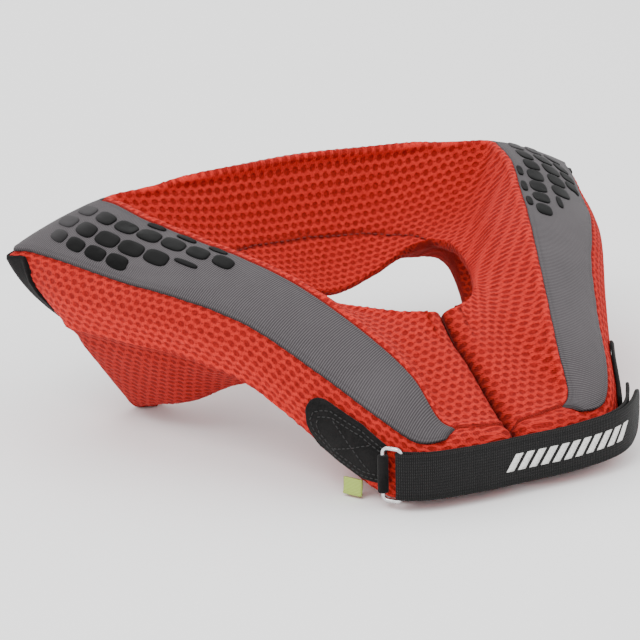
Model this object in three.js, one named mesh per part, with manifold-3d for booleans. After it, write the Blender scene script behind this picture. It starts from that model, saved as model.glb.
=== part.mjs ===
// Padded neck brace: a foam collar round the neck hole, split at the strap end, with a raised wide
// end that stands on two feet. A webbing strap through a steel ring closes the split.
// Millimetres. X runs across the wearer, +Y from the strap end to the wide end, +Z up.
// The origin is on the floor, below the middle of the whole brace.
import * as THREE from "three";
import { mergeVertices } from "three/addons/utils/BufferGeometryUtils.js";
import Module from "manifold-3d";

const wasm = await Module();
wasm.setup();

// Driving dimensions of the collar
const halfWidth = 150;
const bodyLength = 202;
const bodyHeight = 108;
const slitWidth = 1.2;
const slitLip = 6;
const bandCrown = 2;
const wallCrown = 4;
const lipSetback = 3;

// Band and facings sewn on the collar
const sewGap = 0.3;
const tabGap = 0.6;
const bandThickness = 1.5;
const facingThickness = 1.3;
const tabThickness = 1.8;
const tabHalfHeight = 11.5;
const ringEndHalfHeight = 8;
const patchThickness = 1.2;

// Strap, ring and label
const strapWidth = 20;
const strapThickness = 1.4;
const strapFloorGap = 5;
const strapRise = 4;
const strapEndFlare = 3;
const wireRadius = 0.9;
const ringCorner = 2.2;
const ringPlay = 0.4;
const labelWidth = 9;
const labelDrop = 5.5;
const labelThickness = 1.4;
const labelSeam = 1.6;

// One row for each section of one half, from the slit (first) to the middle of the wide end (last).
// x is a share of halfWidth, y of bodyLength, and z, heel, toe, lip and swell of bodyHeight.
// rim: upper edge of the neck hole. crest: top line of the pad. brim: outer edge of the band.
// base: foot of the outer wall. heel, toe: underside near the wall and near the hole.
// lip: depth of the pad at the hole. swell: how far the inner face bulges from rim to crest.
const sectionColumns = [
  "rimX", "rimY", "rimZ", "crestX", "crestY", "crestZ", "brimX", "brimY", "brimZ",
  "baseX", "baseY", "baseZ", "heel", "toe", "lip", "swell",
];
const sectionRows = [
  [0.00, 0.29, 0.60, 0.00, 0.02, 0.23, 0.00, -0.02, 0.19, 0.00, -0.02, 0.01, 0.00, 0.02, 0.24, 0.02],
  [0.06, 0.30, 0.60, 0.11, 0.02, 0.24, 0.15, -0.02, 0.19, 0.15, -0.02, 0.01, 0.00, 0.02, 0.24, 0.02],
  [0.12, 0.33, 0.60, 0.20, 0.04, 0.27, 0.30, 0.00, 0.22, 0.30, 0.00, 0.01, 0.00, 0.06, 0.22, 0.02],
  [0.17, 0.38, 0.60, 0.23, 0.12, 0.43, 0.39, 0.07, 0.31, 0.39, 0.07, 0.03, 0.02, 0.20, 0.18, 0.02],
  [0.21, 0.43, 0.59, 0.29, 0.23, 0.56, 0.48, 0.20, 0.44, 0.48, 0.19, 0.18, 0.19, 0.32, 0.15, 0.01],
  [0.25, 0.49, 0.58, 0.38, 0.38, 0.69, 0.59, 0.35, 0.58, 0.59, 0.33, 0.37, 0.33, 0.42, 0.11, -0.01],
  [0.29, 0.55, 0.57, 0.47, 0.52, 0.77, 0.71, 0.48, 0.66, 0.71, 0.48, 0.45, 0.27, 0.46, 0.08, -0.02],
  [0.33, 0.63, 0.58, 0.55, 0.65, 0.82, 0.81, 0.61, 0.69, 0.81, 0.61, 0.47, 0.16, 0.47, 0.07, 0.00],
  [0.35, 0.70, 0.60, 0.63, 0.78, 0.87, 0.91, 0.78, 0.72, 0.88, 0.78, 0.46, 0.08, 0.50, 0.06, 0.04],
  [0.35, 0.74, 0.60, 0.66, 0.87, 0.90, 0.97, 0.89, 0.73, 0.83, 0.89, 0.42, 0.04, 0.50, 0.06, 0.06],
  [0.33, 0.77, 0.60, 0.67, 0.92, 0.91, 0.99, 0.95, 0.72, 0.78, 0.93, 0.36, -0.02, 0.52, 0.05, 0.08],
  [0.31, 0.78, 0.59, 0.59, 0.93, 0.92, 0.79, 0.99, 0.76, 0.65, 0.97, 0.38, 0.38, 0.52, 0.05, 0.10],
  [0.25, 0.79, 0.56, 0.41, 0.94, 0.94, 0.48, 1.00, 0.79, 0.44, 0.99, 0.44, 0.45, 0.49, 0.05, 0.12],
  [0.15, 0.79, 0.47, 0.21, 0.94, 0.95, 0.24, 1.00, 0.80, 0.23, 0.99, 0.42, 0.41, 0.42, 0.04, 0.13],
  [0.00, 0.79, 0.41, 0.00, 0.94, 0.96, 0.00, 1.00, 0.81, 0.00, 0.99, 0.35, 0.35, 0.37, 0.04, 0.13],
];
const lastRow = sectionRows.length - 1;
const farSlit = 2 * lastRow;

// Stations run from 0 at the near slit face, round the wide end, to farSlit at the far slit face.
const bandStart = 1.62;
const facingStart = 9;
const facingMargin = 0.03;
const strapBarStation = 2.42;
const strapEndStation = 3.3;
const tabBarStation = 2.8;
const tabFront = tabBarStation + 0.05;
const tabRear = 4.15;
const tabStraight = 0.8;
const tabSink = 0.12;
const labelStation = 3.4;

function columnScale(name) {
  if (name.endsWith("X")) return halfWidth;
  if (name.endsWith("Y")) return bodyLength;
  return bodyHeight;
}

// The row at a whole station. Beyond the middle of the wide end the rows are mirrored in X.
function rowValue(index, column) {
  const fromSlit = index > lastRow ? farSlit - index : index;
  const mirrored = index > lastRow !== fromSlit < 0;
  const row = sectionRows[Math.abs(fromSlit)];
  const value = row[column] * columnScale(sectionColumns[column]);
  return sectionColumns[column].endsWith("X") && mirrored ? -value : value;
}

function smoothValue(station, name) {
  const column = sectionColumns.indexOf(name);
  const index = Math.min(Math.max(Math.floor(station), 0), farSlit - 1);
  const t = station - index;
  const [a, b, c, d] = [-1, 0, 1, 2].map((step) => rowValue(index + step, column));
  const straight = 2 * b + (c - a) * t;
  const bend = (2 * a - 5 * b + 4 * c - d) * t * t + (3 * b - a - 3 * c + d) * t * t * t;
  return 0.5 * (straight + bend);
}

// The near half is at negative X, so the table's X is turned round here.
function tablePoint(station, name) {
  const x = -smoothValue(station, `${name}X`);
  return new THREE.Vector3(x, smoothValue(station, `${name}Y`), smoothValue(station, `${name}Z`));
}

function arcBetween(start, end, away, share) {
  const point = start.clone().lerp(end, share);
  return point.addScaledVector(away, 4 * share * (1 - share));
}

// Direction across the pad, level, from the neck hole outwards
function outward(station) {
  const rim = tablePoint(station, "rim");
  const brim = tablePoint(station, "brim");
  return brim.sub(rim).setZ(0).normalize();
}

function innerFace(station, share) {
  const rim = tablePoint(station, "rim");
  const crest = tablePoint(station, "crest");
  const along = crest.clone().sub(rim).normalize();
  const side = new THREE.Vector3(0, 0, 1).cross(outward(station));
  const away = side.cross(along).normalize();
  return arcBetween(rim, crest, away.multiplyScalar(smoothValue(station, "swell")), share);
}

function bandFace(station, share) {
  const crest = tablePoint(station, "crest");
  const brim = tablePoint(station, "brim");
  return arcBetween(crest, brim, new THREE.Vector3(0, 0, bandCrown), share);
}

function wallFace(station, share) {
  const brim = tablePoint(station, "brim");
  const base = tablePoint(station, "base");
  return arcBetween(brim, base, outward(station).multiplyScalar(wallCrown), share);
}

function faceNormal(face, station, share) {
  const step = 0.02;
  const low = Math.max(share - step, 0);
  const high = Math.min(share + step, 1);
  const along = face(station + step, share).sub(face(station - step, share));
  const across = face(station, high).sub(face(station, low));
  return along.cross(across).normalize();
}

function lifted(face, station, share, height) {
  return face(station, share).addScaledVector(faceNormal(face, station, share), height);
}

// The band ends in a rounded tongue beside the slit at both ends. Across the pad it covers the
// band's face from bandInner to bandWidest, and its hollow in the pad reaches hollowPlay further.
const bandInner = 0.06;
const bandWidest = 0.95;
const hollowPlay = 0.03;
const tongueWidth = 0.3;
const tongueLength = 0.9;
function bandOuter(station) {
  const fromEnd = Math.min(station, farSlit - station) - bandStart;
  const growth = THREE.MathUtils.clamp(tongueWidth + fromEnd / tongueLength, 0, 1);
  return bandWidest * Math.sqrt(1 - (1 - growth) ** 2);
}

// The underside runs from the wall's base over a heel and a toe to the lower lip of the hole.
function underside(station) {
  const base = tablePoint(station, "base");
  const lower = tablePoint(station, "rim").addScaledVector(outward(station), lipSetback);
  lower.z -= smoothValue(station, "lip");
  const levels = [["heel", 0.36], ["heel", 0.52], ["toe", 0.74]];
  const middle = levels.map(([name, share]) => {
    const point = base.clone().lerp(lower, share);
    return point.setZ(Math.max(smoothValue(station, name), 0));
  });
  return [base, ...middle, lower];
}

function bodyLoop(station) {
  const loop = [];
  for (let i = 0; i < 7; i += 1) loop.push(innerFace(station, i / 7));
  const hollow = isUnderBand(station) ? bandThickness + sewGap : 0;
  const bandEdges = [bandInner - hollowPlay, bandOuter(station) + hollowPlay];
  loop.push(bandFace(station, 0));
  for (let i = 0; i <= 5; i += 1) {
    const share = THREE.MathUtils.lerp(bandEdges[0], bandEdges[1], i / 5);
    loop.push(lifted(bandFace, station, share, -hollow));
  }
  for (let i = 0; i < 5; i += 1) loop.push(wallFace(station, i / 5));
  const under = underside(station);
  const rim = tablePoint(station, "rim");
  const lower = under[under.length - 1];
  loop.push(...under);
  const lipAway = outward(station).multiplyScalar(-0.2 * smoothValue(station, "lip"));
  loop.push(arcBetween(lower, rim, lipAway, 0.5));
  return loop;
}

function isUnderBand(station) {
  return station > bandStart - 0.06 && station < farSlit - bandStart + 0.06;
}

// At the slit the loop shrinks in two steps, which rounds the lips of the slit.
function slitLoop(station, inset, depth) {
  const loop = bodyLoop(station);
  const side = station === 0 ? -1 : 1;
  return loop.map((point, i) => {
    const before = loop[(i + loop.length - 1) % loop.length];
    const after = loop[(i + 1) % loop.length];
    const along = after.clone().sub(before).setX(0).normalize();
    const inward = new THREE.Vector3(0, -along.z, along.y).multiplyScalar(inset);
    const moved = point.clone().add(inward).setX(side * (slitWidth / 2 + depth));
    return moved.setZ(Math.max(moved.z, 0));
  });
}

function meshGeometry(points, faces) {
  const geometry = new THREE.BufferGeometry();
  geometry.setAttribute("position", new THREE.Float32BufferAttribute(points.flat(), 3));
  geometry.setIndex(faces.flat());
  return turnedOut(mergeVertices(geometry, 1e-4));
}

// A geometry whose volume comes out negative has its faces turned round.
function turnedOut(geometry) {
  const position = geometry.getAttribute("position");
  const corners = [0, 1, 2].map(() => new THREE.Vector3());
  const index = geometry.getIndex();
  let volume = 0;
  for (let i = 0; i < index.count; i += 3) {
    corners.forEach((corner, k) => corner.fromBufferAttribute(position, index.getX(i + k)));
    volume += corners[0].dot(corners[1].clone().cross(corners[2]));
  }
  if (volume < 0) {
    for (let i = 0; i < index.count; i += 3) {
      const first = index.getX(i);
      index.setX(i, index.getX(i + 1));
      index.setX(i + 1, first);
    }
  }
  geometry.computeVertexNormals();
  return geometry;
}

function loftedBody() {
  const loops = [slitLoop(0, slitLip * 0.8, 0), slitLoop(0, slitLip * 0.25, slitLip * 0.3)];
  loops.push(slitLoop(0, 0, slitLip));
  const stations = [0.75, 1, 1.3, bandStart - 0.04, 2, 2.25, 2.5];
  stations.push(...evenly(3, lastRow, 3 * (lastRow - 3)).slice(0, -1));
  const mirrored = stations.map((station) => farSlit - station).reverse();
  [...stations, lastRow, ...mirrored].forEach((station) => loops.push(bodyLoop(station)));
  loops.push(slitLoop(farSlit, 0, slitLip));
  loops.push(slitLoop(farSlit, slitLip * 0.25, slitLip * 0.3));
  loops.push(slitLoop(farSlit, slitLip * 0.8, 0));
  const size = loops[0].length;
  const faces = [];
  for (let row = 0; row < loops.length - 1; row += 1) {
    for (let i = 0; i < size; i += 1) {
      const next = (i + 1) % size;
      const [a, b] = [row * size + i, row * size + next];
      faces.push([a, b, a + size], [b, b + size, a + size]);
    }
  }
  const points = loops.flat().map((point) => point.toArray());
  const lastStart = (loops.length - 1) * size;
  for (const [start, loop] of [[0, loops[0]], [lastStart, loops[loops.length - 1]]]) {
    const middle = loop.reduce((sum, p) => sum.add(p), new THREE.Vector3()).divideScalar(size);
    const hub = points.push(middle.toArray()) - 1;
    for (let i = 0; i < size; i += 1) {
      const [a, b] = [start + i, start + (i + 1) % size];
      faces.push(start === 0 ? [b, a, hub] : [a, b, hub]);
    }
  }
  return meshGeometry(points, faces);
}

// A closed sheet of even thickness that follows one face of the collar
function sewnSheet(face, stations, sharesAt, low, high) {
  const points = [];
  const width = sharesAt(stations[0]).length;
  for (const height of [low, high]) {
    for (const station of stations) {
      for (const share of sharesAt(station)) {
        points.push(lifted(face, station, share, height).toArray());
      }
    }
  }
  const half = stations.length * width;
  const faces = [];
  const quad = (a, b, c, d) => faces.push([a, b, c], [a, c, d]);
  for (let row = 0; row < stations.length - 1; row += 1) {
    for (let i = 0; i < width - 1; i += 1) {
      const a = row * width + i;
      quad(a, a + 1, a + width + 1, a + width);
      quad(half + a, half + a + width, half + a + width + 1, half + a + 1);
    }
    const [left, right] = [row * width, row * width + width - 1];
    quad(left, left + width, half + left + width, half + left);
    quad(right, half + right, half + right + width, right + width);
  }
  const end = (stations.length - 1) * width;
  for (let i = 0; i < width - 1; i += 1) {
    quad(i, half + i, half + i + 1, i + 1);
    quad(end + i, end + i + 1, half + end + i + 1, half + end + i);
  }
  return meshGeometry(points, faces);
}

function evenly(start, end, count) {
  return Array.from({ length: count + 1 }, (_, i) => THREE.MathUtils.lerp(start, end, i / count));
}

function topBand() {
  const head = [bandStart, bandStart + 0.15, 2, 2.25, 2.5, 2.75];
  const run = evenly(3, farSlit - 3, 3 * (farSlit - 6));
  const tail = head.map((station) => farSlit - station).reverse();
  const shares = (station) => evenly(bandInner, bandOuter(station), 5);
  return sewnSheet(bandFace, [...head, ...run, ...tail], shares, -bandThickness, 0);
}

function endFacing() {
  const stations = evenly(facingStart, farSlit - facingStart, 3 * (farSlit - 2 * facingStart));
  const shares = () => evenly(facingMargin, 1 - facingMargin, 5);
  return sewnSheet(wallFace, stations, shares, sewGap, sewGap + facingThickness);
}

// Shares down the wall that a tab covers at one station, fromRing being 0 at its ring end
function tabShares(station, fromRing) {
  const height = wallFace(station, 0).distanceTo(wallFace(station, 1));
  const narrow = THREE.MathUtils.lerp(ringEndHalfHeight, tabHalfHeight, Math.min(fromRing * 3, 1));
  const pastStraight = Math.max((fromRing - tabStraight) / (1 - tabStraight), 0);
  const rounding = Math.sqrt(1 - 0.75 * pastStraight ** 2);
  const half = (narrow * rounding) / height;
  const middle = 0.5 + tabSink * fromRing;
  return evenly(Math.max(middle - half, 0.02), Math.min(middle + half, 0.97), 4);
}

function asManifold(geometry) {
  const bare = geometry.clone();
  bare.deleteAttribute("normal");
  bare.deleteAttribute("uv");
  const merged = mergeVertices(bare, 1e-4);
  const vertProperties = new Float32Array(merged.getAttribute("position").array);
  const triVerts = new Uint32Array(merged.getIndex().array);
  return new wasm.Manifold(new wasm.Mesh({ numProp: 3, vertProperties, triVerts }));
}

function fromManifold(solid) {
  const mesh = solid.getMesh();
  const geometry = new THREE.BufferGeometry();
  geometry.setAttribute("position", new THREE.BufferAttribute(mesh.vertProperties, 3));
  geometry.setIndex(new THREE.BufferAttribute(mesh.triVerts, 1));
  geometry.computeVertexNormals();
  return geometry;
}

// The ring stands upright off the near corner of the strap end: one bar in the fold of the tab,
// the other in the fold of the strap.
const tabFold = wireRadius + sewGap + tabThickness * 0.6;
const strapFold = wireRadius + sewGap + strapThickness / 2;
const strapFoldTurn = 75;
const strapInnerHeight = 2 * sewGap + strapThickness / 2;
const ringHeight = strapFloorGap + strapWidth / 2;
const ringLong = strapWidth + 2 * (wireRadius + ringPlay);
const tabBar = lifted(wallFace, tabBarStation, 0.5, tabFold + tabGap).setZ(ringHeight);
const strapBarHeight = strapInnerHeight + strapFold;
const strapBar = lifted(wallFace, strapBarStation, 0.5, strapBarHeight).setZ(ringHeight);
const ringAlong = tabBar.clone().sub(strapBar).normalize();
const ringShort = tabBar.distanceTo(strapBar);

function strapRing() {
  const middle = tabBar.clone().add(strapBar).multiplyScalar(0.5);
  const up = new THREE.Vector3(0, 0, 1);
  const corners = [[1, 1], [1, -1], [-1, -1], [-1, 1]];
  const points = [];
  for (const [along, rise] of corners) {
    const turnSteps = 4;
    for (let i = 0; i <= turnSteps; i += 1) {
      const share = along * rise > 0 ? i / turnSteps : 1 - i / turnSteps;
      const angle = (share * Math.PI) / 2;
      const x = along * (ringShort / 2 - ringCorner + ringCorner * Math.sin(angle));
      const z = rise * (ringLong / 2 - ringCorner + ringCorner * Math.cos(angle));
      points.push(middle.clone().addScaledVector(ringAlong, x).addScaledVector(up, z));
    }
  }
  return wireLoop(points, wireRadius, 8);
}

// Round wire swept along a closed loop of points
function wireLoop(points, radius, sides) {
  const out = [];
  const faces = [];
  const count = points.length;
  const middle = points.reduce((sum, p) => sum.add(p), new THREE.Vector3()).divideScalar(count);
  const spin = points[0].clone().sub(middle).cross(points[3].clone().sub(middle)).normalize();
  points.forEach((point, i) => {
    const before = points[(i + count - 1) % count];
    const after = points[(i + 1) % count];
    const side = after.clone().sub(before).normalize().cross(spin);
    for (let k = 0; k < sides; k += 1) {
      const angle = (2 * Math.PI * k) / sides;
      const ring = point.clone().addScaledVector(side, radius * Math.cos(angle));
      out.push(ring.addScaledVector(spin, radius * Math.sin(angle)).toArray());
      const [next, across] = [((i + 1) % count) * sides, (k + 1) % sides];
      faces.push([i * sides + k, i * sides + across, next + k]);
      faces.push([i * sides + across, next + across, next + k]);
    }
  });
  return meshGeometry(out, faces);
}

// The tab's ring end is folded round the ring's bar, as a short tube.
function ringTab() {
  const stations = [tabFront, ...evenly(3, 4, 3), tabRear];
  const fromRing = (station) => (station - tabFront) / (tabRear - tabFront);
  const shares = (station) => tabShares(station, fromRing(station));
  const sheet = sewnSheet(wallFace, stations, shares, tabGap, tabGap + tabThickness);
  const inner = wireRadius + sewGap;
  const shape = new THREE.Shape().absarc(0, 0, tabFold, 0, 2 * Math.PI);
  shape.holes.push(new THREE.Path().absarc(0, 0, inner, 0, 2 * Math.PI, true));
  const length = 2 * ringEndHalfHeight;
  const fold = new THREE.ExtrudeGeometry(shape, { depth: length, bevelEnabled: false, curveSegments: 8 });
  fold.translate(tabBar.x, tabBar.y, tabBar.z - length / 2);
  return fromManifold(asManifold(sheet).add(asManifold(fold)));
}

function farPatch() {
  const stations = [tabFront, ...evenly(3, 4, 3), tabRear];
  const fromEnd = (station) => (station - tabFront) / (tabRear - tabFront);
  const shares = (station) => tabShares(farSlit - station, fromEnd(farSlit - station));
  const far = stations.map((station) => farSlit - station);
  return sewnSheet(wallFace, far, shares, tabGap, tabGap + patchThickness);
}

// Points of one layer of the strap seen from above, from the ring round to the far end
function strapLayer(height, barHeight, flare) {
  const farHeight = height + tabGap + patchThickness;
  const near = evenly(strapBarStation - 0.05, 0, 8).map((station) => {
    return [station, THREE.MathUtils.lerp(height, barHeight, (station / strapBarStation) ** 4)];
  });
  const far = evenly(farSlit - 0.3, farSlit - strapEndStation, 11).map((station, i) => {
    return [station, THREE.MathUtils.lerp(height, farHeight, i / 11) + flare * (i / 11) ** 4];
  });
  return [...near, ...far].map(([station, lift]) => {
    const point = lifted(wallFace, station, 0.5, lift);
    return new THREE.Vector2(point.x, point.y);
  });
}

function strap() {
  const outerHeight = strapInnerHeight + strapThickness + sewGap;
  const inner = strapLayer(strapInnerHeight, strapInnerHeight, 0);
  const outer = strapLayer(outerHeight, strapInnerHeight + 2 * strapFold, strapEndFlare);
  const bar = new THREE.Vector2(strapBar.x, strapBar.y);
  const along = new THREE.Vector2(ringAlong.x, ringAlong.y);
  const across = new THREE.Vector2(-along.y, along.x);
  const fold = evenly(-strapFoldTurn, strapFoldTurn, 8).map((degrees) => {
    const angle = THREE.MathUtils.degToRad(degrees);
    const out = along.clone().multiplyScalar(strapFold * Math.cos(angle));
    return bar.clone().add(out).addScaledVector(across, strapFold * Math.sin(angle));
  });
  return ribbonAlong([...inner.reverse(), ...fold, ...outer]);
}

// A flat ribbon on edge, extruded upwards from its plan outline
function ribbonAlong(line) {
  const left = [];
  const right = [];
  line.forEach((point, i) => {
    const before = line[Math.max(i - 1, 0)];
    const after = line[Math.min(i + 1, line.length - 1)];
    const along = after.clone().sub(before).normalize();
    const across = new THREE.Vector2(-along.y, along.x).multiplyScalar(strapThickness / 2);
    left.push(point.clone().add(across));
    right.push(point.clone().sub(across));
  });
  const shape = new THREE.Shape([...left, ...right.reverse()]);
  const ribbon = new THREE.ExtrudeGeometry(shape, { depth: strapWidth, bevelEnabled: false });
  ribbon.translate(0, 0, strapFloorGap);
  const position = ribbon.getAttribute("position");
  const farX = line[line.length - 1].x;
  for (let i = 0; i < position.count; i += 1) {
    const share = Math.max(position.getX(i) / farX, 0);
    position.setZ(i, position.getZ(i) + strapRise * share * share);
  }
  ribbon.computeVertexNormals();
  return ribbon;
}

function labelTag() {
  const root = lifted(wallFace, labelStation, 1, labelThickness / 2 + sewGap);
  const before = wallFace(labelStation - 0.15, 0.97);
  const along = wallFace(labelStation + 0.15, 0.97).sub(before).setZ(0).normalize();
  const tag = new THREE.BoxGeometry(labelWidth, labelThickness, labelDrop);
  tag.rotateZ(Math.atan2(along.y, along.x));
  return tag.translate(root.x, root.y, root.z - labelDrop / 2 - labelSeam);
}

const materials = {
  mesh: new THREE.MeshStandardMaterial({ color: 0xd43c34, roughness: 0.9, metalness: 0 }),
  twill: new THREE.MeshStandardMaterial({ color: 0x5a5556, roughness: 0.8, metalness: 0 }),
  suede: new THREE.MeshStandardMaterial({ color: 0x1d1b1b, roughness: 0.95, metalness: 0 }),
  webbing: new THREE.MeshStandardMaterial({ color: 0x242222, roughness: 0.85, metalness: 0 }),
  steel: new THREE.MeshStandardMaterial({ color: 0xc8c8c8, roughness: 0.25, metalness: 1 }),
  lime: new THREE.MeshStandardMaterial({ color: 0xc5d673, roughness: 0.8, metalness: 0 }),
};

const pieces = [
  ["collar_body", loftedBody(), materials.mesh],
  ["top_band", topBand(), materials.twill],
  ["end_facing", endFacing(), materials.suede],
  ["ring_tab", ringTab(), materials.suede],
  ["far_patch", farPatch(), materials.suede],
  ["strap_ring", strapRing(), materials.steel],
  ["strap", strap(), materials.webbing],
  ["label_tag", labelTag(), materials.lime],
];

const group = new THREE.Group();
for (const [name, geometry, material] of pieces) {
  const mesh = new THREE.Mesh(geometry, material);
  mesh.name = name;
  group.add(mesh);
}
const bounds = new THREE.Box3().setFromObject(group);
const middle = bounds.getCenter(new THREE.Vector3());
group.position.set(-middle.x, -middle.y, -bounds.min.z);

export default group;
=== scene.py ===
import math

import bmesh
import bpy
import numpy as np
from mathutils import Matrix, Vector, kdtree


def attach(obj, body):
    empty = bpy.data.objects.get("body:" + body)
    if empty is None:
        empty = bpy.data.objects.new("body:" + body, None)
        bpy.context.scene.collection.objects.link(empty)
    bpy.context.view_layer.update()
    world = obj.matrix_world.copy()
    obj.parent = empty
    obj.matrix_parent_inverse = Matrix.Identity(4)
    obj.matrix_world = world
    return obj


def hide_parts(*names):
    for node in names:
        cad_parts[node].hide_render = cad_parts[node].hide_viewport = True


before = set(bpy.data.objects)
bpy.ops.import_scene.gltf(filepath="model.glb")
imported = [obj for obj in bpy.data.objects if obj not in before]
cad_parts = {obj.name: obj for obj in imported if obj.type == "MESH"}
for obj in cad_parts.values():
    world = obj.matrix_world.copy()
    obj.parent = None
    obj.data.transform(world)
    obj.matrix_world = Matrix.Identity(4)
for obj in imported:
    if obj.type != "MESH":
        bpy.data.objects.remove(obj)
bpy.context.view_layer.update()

# Collar: one moulded foam pad with a sewn cover of red honeycomb air mesh. Each row of the
# table is one section of the near half, from the slit to the middle of the wide end. The cells
# of the knit are pits in the mesh, and they close up where the cover is pulled into the hole.
HALF_WIDTH, LENGTH, HEIGHT = 0.150, 0.202, 0.108
MIDDLE_Y = 0.0972
SLIT_WIDTH, SLIT_LIP = 0.0012, 0.008
BAND_CROWN, WALL_CROWN, LIP_SETBACK = 0.002, 0.004, 0.003
BAND_START, BAND_INNER, BAND_HOLLOW = 1.62, 0.06, 0.0017
COVER_LIFT = 0.0002
LAST_ROW, FAR_SLIT = 14, 28
COLUMNS = ["rimX", "rimY", "rimZ", "crestX", "crestY", "crestZ", "brimX", "brimY", "brimZ",
           "baseX", "baseY", "baseZ", "heel", "toe", "lip", "swell"]
SECTIONS = [
    [0.00, 0.29, 0.60, 0.00, 0.02, 0.23, 0.00, -0.02, 0.19, 0.00, -0.02, 0.01, 0.00, 0.02, 0.24,
     0.02],
    [0.06, 0.30, 0.60, 0.11, 0.02, 0.24, 0.15, -0.02, 0.19, 0.15, -0.02, 0.01, 0.00, 0.02, 0.24,
     0.02],
    [0.12, 0.33, 0.60, 0.20, 0.04, 0.27, 0.30, 0.00, 0.22, 0.30, 0.00, 0.01, 0.00, 0.06, 0.22,
     0.02],
    [0.17, 0.38, 0.60, 0.23, 0.12, 0.43, 0.39, 0.07, 0.31, 0.39, 0.07, 0.03, 0.02, 0.20, 0.18,
     0.02],
    [0.21, 0.43, 0.59, 0.29, 0.23, 0.56, 0.48, 0.20, 0.44, 0.48, 0.19, 0.18, 0.19, 0.32, 0.15,
     0.01],
    [0.25, 0.49, 0.58, 0.38, 0.38, 0.69, 0.59, 0.35, 0.58, 0.59, 0.33, 0.37, 0.33, 0.42, 0.11,
     -0.01],
    [0.29, 0.55, 0.57, 0.47, 0.52, 0.77, 0.71, 0.48, 0.66, 0.71, 0.48, 0.45, 0.27, 0.46, 0.08,
     -0.02],
    [0.33, 0.63, 0.58, 0.55, 0.65, 0.82, 0.81, 0.61, 0.69, 0.81, 0.61, 0.47, 0.16, 0.47, 0.07,
     0.00],
    [0.35, 0.70, 0.60, 0.63, 0.78, 0.87, 0.91, 0.78, 0.72, 0.88, 0.78, 0.46, 0.08, 0.50, 0.06,
     0.04],
    [0.35, 0.74, 0.60, 0.66, 0.87, 0.90, 0.97, 0.89, 0.73, 0.83, 0.89, 0.42, 0.04, 0.50, 0.06,
     0.06],
    [0.33, 0.77, 0.60, 0.67, 0.92, 0.91, 0.99, 0.95, 0.72, 0.78, 0.93, 0.36, -0.02, 0.52, 0.05,
     0.08],
    [0.31, 0.78, 0.59, 0.59, 0.93, 0.92, 0.79, 0.99, 0.76, 0.65, 0.97, 0.38, 0.38, 0.52, 0.05,
     0.10],
    [0.25, 0.79, 0.56, 0.41, 0.94, 0.94, 0.48, 1.00, 0.79, 0.44, 0.99, 0.44, 0.45, 0.49, 0.05,
     0.12],
    [0.15, 0.79, 0.47, 0.21, 0.94, 0.95, 0.24, 1.00, 0.80, 0.23, 0.99, 0.42, 0.41, 0.42, 0.04,
     0.13],
    [0.00, 0.79, 0.41, 0.00, 0.94, 0.96, 0.00, 1.00, 0.81, 0.00, 0.99, 0.35, 0.35, 0.37, 0.04,
     0.13],
]


def mirrored_rows():
    """The table in metres round the whole collar, the near half at negative X."""
    sizes = {"X": HALF_WIDTH, "Y": LENGTH}
    scale = np.array([sizes.get(column[-1], HEIGHT) for column in COLUMNS])
    rows = []
    for index in range(-1, FAR_SLIT + 2):
        from_slit = FAR_SLIT - index if index > LAST_ROW else index
        far = (index > LAST_ROW) != (from_slit < 0)
        row = np.array(SECTIONS[abs(from_slit)]) * scale
        row[[0, 3, 6, 9]] *= 1 if far else -1
        row[[1, 4, 7, 10]] -= MIDDLE_Y
        rows.append(row)
    return np.array(rows)


ROWS = mirrored_rows()


def section(station):
    """Every column of the table at these stations, smoothed across the rows."""
    station = np.asarray(station, float)
    index = np.clip(np.floor(station).astype(int), 0, FAR_SLIT - 1)
    t = (station - index)[..., None]
    a, b, c, d = (ROWS[index + step] for step in range(4))
    bend = (2 * a - 5 * b + 4 * c - d) * t ** 2 + (3 * b - a - 3 * c + d) * t ** 3
    value = 0.5 * (2 * b + (c - a) * t + bend)
    found = dict(zip(COLUMNS, np.moveaxis(value, -1, 0)))
    for line in ("rim", "crest", "brim", "base"):
        found[line] = np.stack([found[line + axis] for axis in "XYZ"], -1)
    return found


def unit(v):
    return v / np.maximum(np.linalg.norm(v, axis=-1, keepdims=True), 1e-12)


def arc(start, end, away, share):
    share = np.asarray(share, float)[..., None]
    return start + (end - start) * share + away * 4 * share * (1 - share)


def outward(found):
    level = found["brim"] - found["rim"]
    level[..., 2] = 0
    return unit(level)


def inner_face(station, share):
    found = section(station)
    along = unit(found["crest"] - found["rim"])
    side = np.cross([0, 0, 1], outward(found))
    away = unit(np.cross(side, along)) * found["swell"][..., None]
    return arc(found["rim"], found["crest"], away, share)


def band_face(station, share):
    found = section(station)
    return arc(found["crest"], found["brim"], np.array([0, 0, BAND_CROWN]), share)


def wall_face(station, share):
    found = section(station)
    return arc(found["brim"], found["base"], outward(found) * WALL_CROWN, share)


def face_normal(face, station, share):
    step = 0.02
    share = np.asarray(share, float)
    low, high = np.maximum(share - step, 0), np.minimum(share + step, 1)
    along = face(station + step, share) - face(station - step, share)
    across = face(station, high) - face(station, low)
    return unit(np.cross(along, across))


def lifted(face, station, share, height):
    station, share = np.broadcast_arrays(np.asarray(station, float), np.asarray(share, float))
    height = np.broadcast_to(np.asarray(height, float), share.shape)
    return face(station, share) + face_normal(face, station, share) * height[..., None]


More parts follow.
